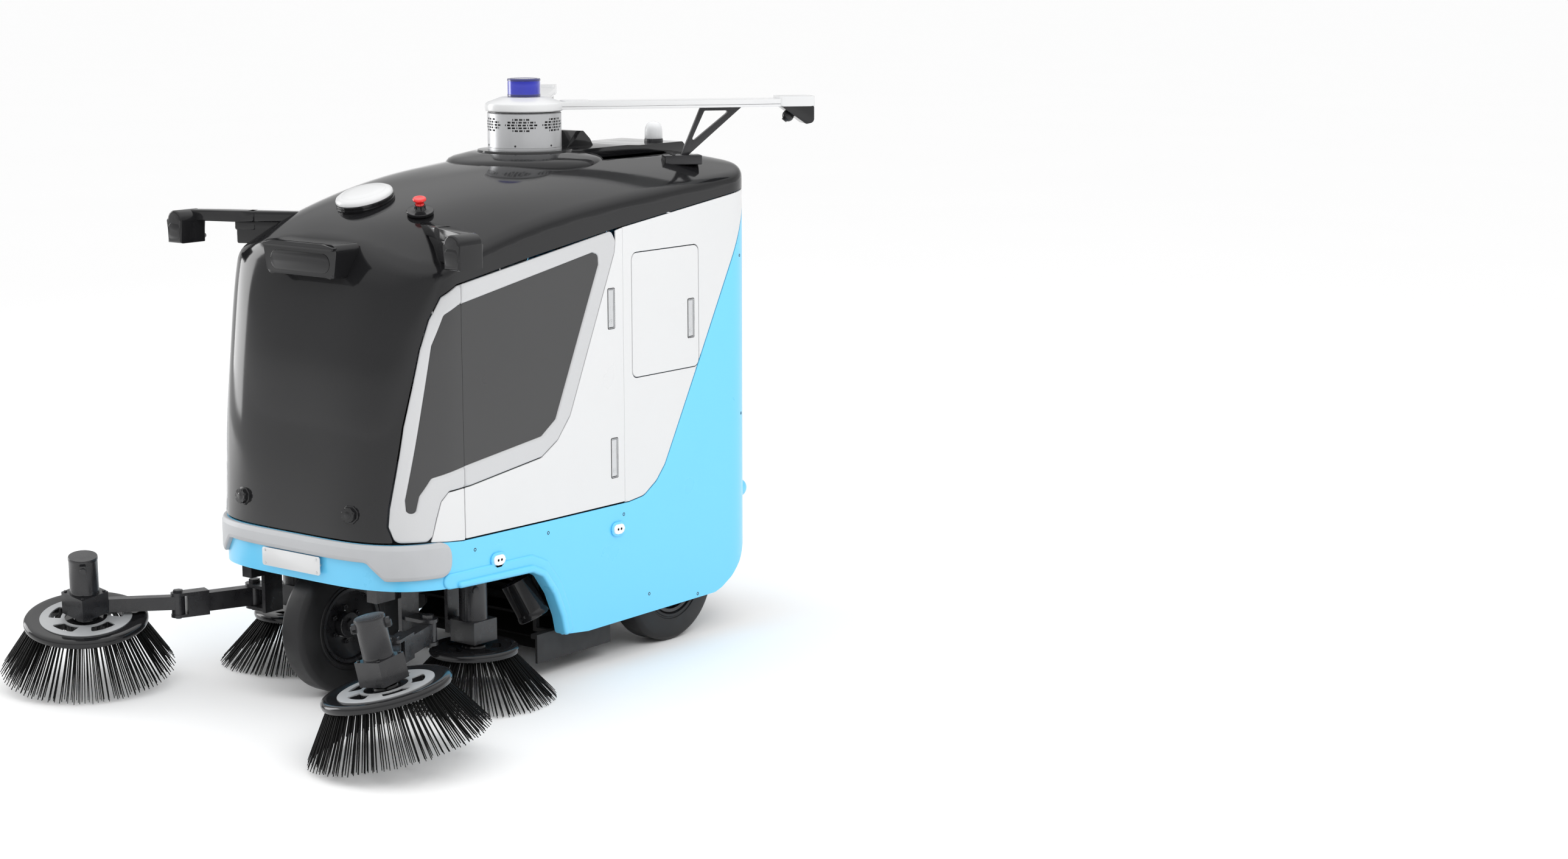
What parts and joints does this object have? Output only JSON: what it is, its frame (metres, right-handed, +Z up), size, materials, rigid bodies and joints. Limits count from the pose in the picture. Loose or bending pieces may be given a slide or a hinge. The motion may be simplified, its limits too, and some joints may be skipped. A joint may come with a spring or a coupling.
{
  "type": "robotic floor cleaner",
  "caption": "Driverless floor sweeper with swinging side brushes, main roller, steered front wheel, sensor tower and hinged doors.",
  "frame": {"origin": "on the ground, below the middle of the bounding box", "axes": "+Z up, -Y towards the front, +X towards the machine's left side"},
  "size_m": [1.8308, 2.2616, 1.78],
  "materials": {
    "black_gloss": "high gloss",
    "black_matte": "satin",
    "blue": "gloss",
    "white": "gloss",
    "pearl": "pearl",
    "grey_bumper": "satin",
    "tinted_glass": "tinted",
    "silver": "brushed",
    "frame_steel": "satin black",
    "rubber": "matte",
    "tyre": "matte",
    "bristle": "matte",
    "red": "gloss",
    "lidar_blue": "gloss",
    "beacon_white": "translucent",
    "steel": "satin",
    "battery_grey": "satin"
  },
  "bodies": {
    "machine": {"chassis": "frame_steel", "bay_frame": "frame_steel", "skirt_shell": "blue", "bumper": "grey_bumper", "number_plate": "white", "cowl": "black_gloss", "side_panels": "white", "window_surrounds": "pearl", "quarter_glass": "tinted_glass", "front_sensors": "black_matte", "ear_cameras": "black_matte", "gnss_antenna": "white", "estop_collar": "black_matte", "saucer": "black_gloss", "tower_drum": "silver", "tower_cap": "white", "arm_cameras": "black_matte", "struts": "frame_steel", "lidar_housing": "lidar_blue", "beacon": "beacon_white", "battery": "battery_grey", "dust_bin": "black_matte", "fan_unit": "black_matte", "inner_motors": "frame_steel", "flaps": "rubber"},
    "estop": {"estop_button": "red"},
    "lidar_spinner": {"lidar_rotor": "black_matte"},
    "side_door_left": {"door_left": "white", "door_glass_left": "tinted_glass"},
    "side_door_right": {"door_right": "white", "door_glass_right": "tinted_glass"},
    "paddle_lu": {"latch_lu": "steel"},
    "paddle_ll": {"latch_ll": "steel"},
    "paddle_ru": {"latch_ru": "steel"},
    "paddle_rl": {"latch_rl": "steel"},
    "service_door_left": {"service_left": "white"},
    "service_door_right": {"service_right": "white"},
    "service_paddle_left": {"service_latch_left": "steel"},
    "service_paddle_right": {"service_latch_right": "steel"},
    "tail_door": {"rear_door": "blue"},
    "steering": {"fork": "frame_steel"},
    "front_wheel": {"front_rim": "frame_steel", "front_tyre": "tyre"},
    "rear_wheel_left": {"rear_rim_left": "frame_steel", "rear_tyre_left": "tyre"},
    "rear_wheel_right": {"rear_rim_right": "frame_steel", "rear_tyre_right": "tyre"},
    "inner_link_left": {"link_left": "frame_steel"},
    "inner_link_right": {"link_right": "frame_steel"},
    "outer_arm_left": {"brush_arm_left": "frame_steel"},
    "outer_arm_right": {"brush_arm_right": "frame_steel"},
    "front_brush_left": {"front_disc_left": "black_matte", "front_bristles_left": "bristle"},
    "front_brush_right": {"front_disc_right": "black_matte", "front_bristles_right": "bristle"},
    "inner_brush_left": {"inner_disc_left": "black_matte", "inner_bristles_left": "bristle"},
    "inner_brush_right": {"inner_disc_right": "black_matte", "inner_bristles_right": "bristle"},
    "main_roller": {"roller": "bristle"}
  },
  "joints": [
    {"name": "estop_push", "type": "slide", "parent": "machine", "child": "estop", "axis": [-0.2008, 0.2588, -0.9448], "range_m": [0, 0.005], "stiffness_N_per_m": 900, "springref_m": -0.002},
    {"name": "lidar_spin", "type": "hinge", "parent": "machine", "child": "lidar_spinner", "pos_m": [0, 0.37529, 1.75], "axis": [0, 0, 1], "continuous": true},
    {"name": "side_door_left_swing", "type": "hinge", "parent": "machine", "child": "side_door_left", "pos_m": [0.408, -0.32971, 0.9], "axis": [0, 0, -1], "range_deg": [0, 70]},
    {"name": "service_door_left_swing", "type": "hinge", "parent": "machine", "child": "service_door_left", "pos_m": [0.408, 0.42029, 1.07], "axis": [0, 0, -1], "range_deg": [0, 70]},
    {"name": "side_door_right_swing", "type": "hinge", "parent": "machine", "child": "side_door_right", "pos_m": [-0.408, -0.32971, 0.9], "axis": [0, 0, 1], "range_deg": [0, 70]},
    {"name": "service_door_right_swing", "type": "hinge", "parent": "machine", "child": "service_door_right", "pos_m": [-0.408, 0.42029, 1.07], "axis": [0, 0, 1], "range_deg": [0, 70]},
    {"name": "paddle_lu_pull", "type": "hinge", "parent": "side_door_left", "child": "paddle_lu", "pos_m": [0.425, 0.28329, 1.157], "axis": [0, -1, 0], "range_deg": [0, 35], "stiffness_Nm_per_rad": 0.12, "springref_deg": -20.05},
    {"name": "paddle_ll_pull", "type": "hinge", "parent": "side_door_left", "child": "paddle_ll", "pos_m": [0.425, 0.29129, 0.695], "axis": [0, -1, 0], "range_deg": [0, 35], "stiffness_Nm_per_rad": 0.12, "springref_deg": -20.05},
    {"name": "paddle_ru_pull", "type": "hinge", "parent": "side_door_right", "child": "paddle_ru", "pos_m": [-0.425, 0.28329, 1.157], "axis": [0, 1, 0], "range_deg": [0, 35], "stiffness_Nm_per_rad": 0.12, "springref_deg": -20.05},
    {"name": "paddle_rl_pull", "type": "hinge", "parent": "side_door_right", "child": "paddle_rl", "pos_m": [-0.425, 0.29129, 0.695], "axis": [0, 1, 0], "range_deg": [0, 35], "stiffness_Nm_per_rad": 0.12, "springref_deg": -20.05},
    {"name": "paddle_service_left_pull", "type": "hinge", "parent": "service_door_left", "child": "service_paddle_left", "pos_m": [0.425, 0.66329, 1.087], "axis": [0, -1, 0], "range_deg": [0, 35], "stiffness_Nm_per_rad": 0.12, "springref_deg": -20.05},
    {"name": "paddle_service_right_pull", "type": "hinge", "parent": "service_door_right", "child": "service_paddle_right", "pos_m": [-0.425, 0.66329, 1.087], "axis": [0, 1, 0], "range_deg": [0, 35], "stiffness_Nm_per_rad": 0.12, "springref_deg": -20.05},
    {"name": "tail_door_swing", "type": "hinge", "parent": "machine", "child": "tail_door", "pos_m": [0.206, 1.01529, 0.88], "axis": [0, 0, -1], "range_deg": [0, 75]},
    {"name": "front_steer", "type": "hinge", "parent": "machine", "child": "steering", "pos_m": [0, -0.45471, 0.46], "axis": [0, 0, 1], "range_deg": [-35, 35]},
    {"name": "front_wheel_spin", "type": "hinge", "parent": "steering", "child": "front_wheel", "pos_m": [0, -0.45471, 0.205], "axis": [1, 0, 0], "continuous": true},
    {"name": "rear_wheel_left_spin", "type": "hinge", "parent": "machine", "child": "rear_wheel_left", "pos_m": [0.354, 0.60029, 0.205], "axis": [1, 0, 0], "continuous": true},
    {"name": "rear_wheel_right_spin", "type": "hinge", "parent": "machine", "child": "rear_wheel_right", "pos_m": [-0.354, 0.60029, 0.205], "axis": [1, 0, 0], "continuous": true},
    {"name": "inner_link_left_swing", "type": "hinge", "parent": "machine", "child": "inner_link_left", "pos_m": [0.37, -0.46471, 0.238], "axis": [0, 0, 1], "range_deg": [-30, 20]},
    {"name": "outer_arm_left_swing", "type": "hinge", "parent": "inner_link_left", "child": "outer_arm_left", "pos_m": [0.458, -0.68871, 0.238], "axis": [0, 0, 1], "range_deg": [-12, 12]},
    {"name": "front_brush_left_spin", "type": "hinge", "parent": "outer_arm_left", "child": "front_brush_left", "pos_m": [0.635, -0.89271, 0.20601], "axis": [-0.1564, -0.1305, 0.979], "continuous": true},
    {"name": "inner_brush_left_spin", "type": "hinge", "parent": "machine", "child": "inner_brush_left", "pos_m": [0.378, -0.28671, 0.152], "axis": [0, 0, 1], "continuous": true},
    {"name": "inner_link_right_swing", "type": "hinge", "parent": "machine", "child": "inner_link_right", "pos_m": [-0.37, -0.46471, 0.238], "axis": [0, 0, -1], "range_deg": [-30, 20]},
    {"name": "outer_arm_right_swing", "type": "hinge", "parent": "inner_link_right", "child": "outer_arm_right", "pos_m": [-0.458, -0.68871, 0.238], "axis": [0, 0, -1], "range_deg": [-12, 12]},
    {"name": "front_brush_right_spin", "type": "hinge", "parent": "outer_arm_right", "child": "front_brush_right", "pos_m": [-0.635, -0.89271, 0.20601], "axis": [0.1564, -0.1305, 0.979], "continuous": true},
    {"name": "inner_brush_right_spin", "type": "hinge", "parent": "machine", "child": "inner_brush_right", "pos_m": [-0.378, -0.28671, 0.152], "axis": [0, 0, 1], "continuous": true},
    {"name": "roller_spin", "type": "hinge", "parent": "machine", "child": "main_roller", "pos_m": [0, 0.26029, 0.153], "axis": [1, 0, 0], "continuous": true}
  ]
}
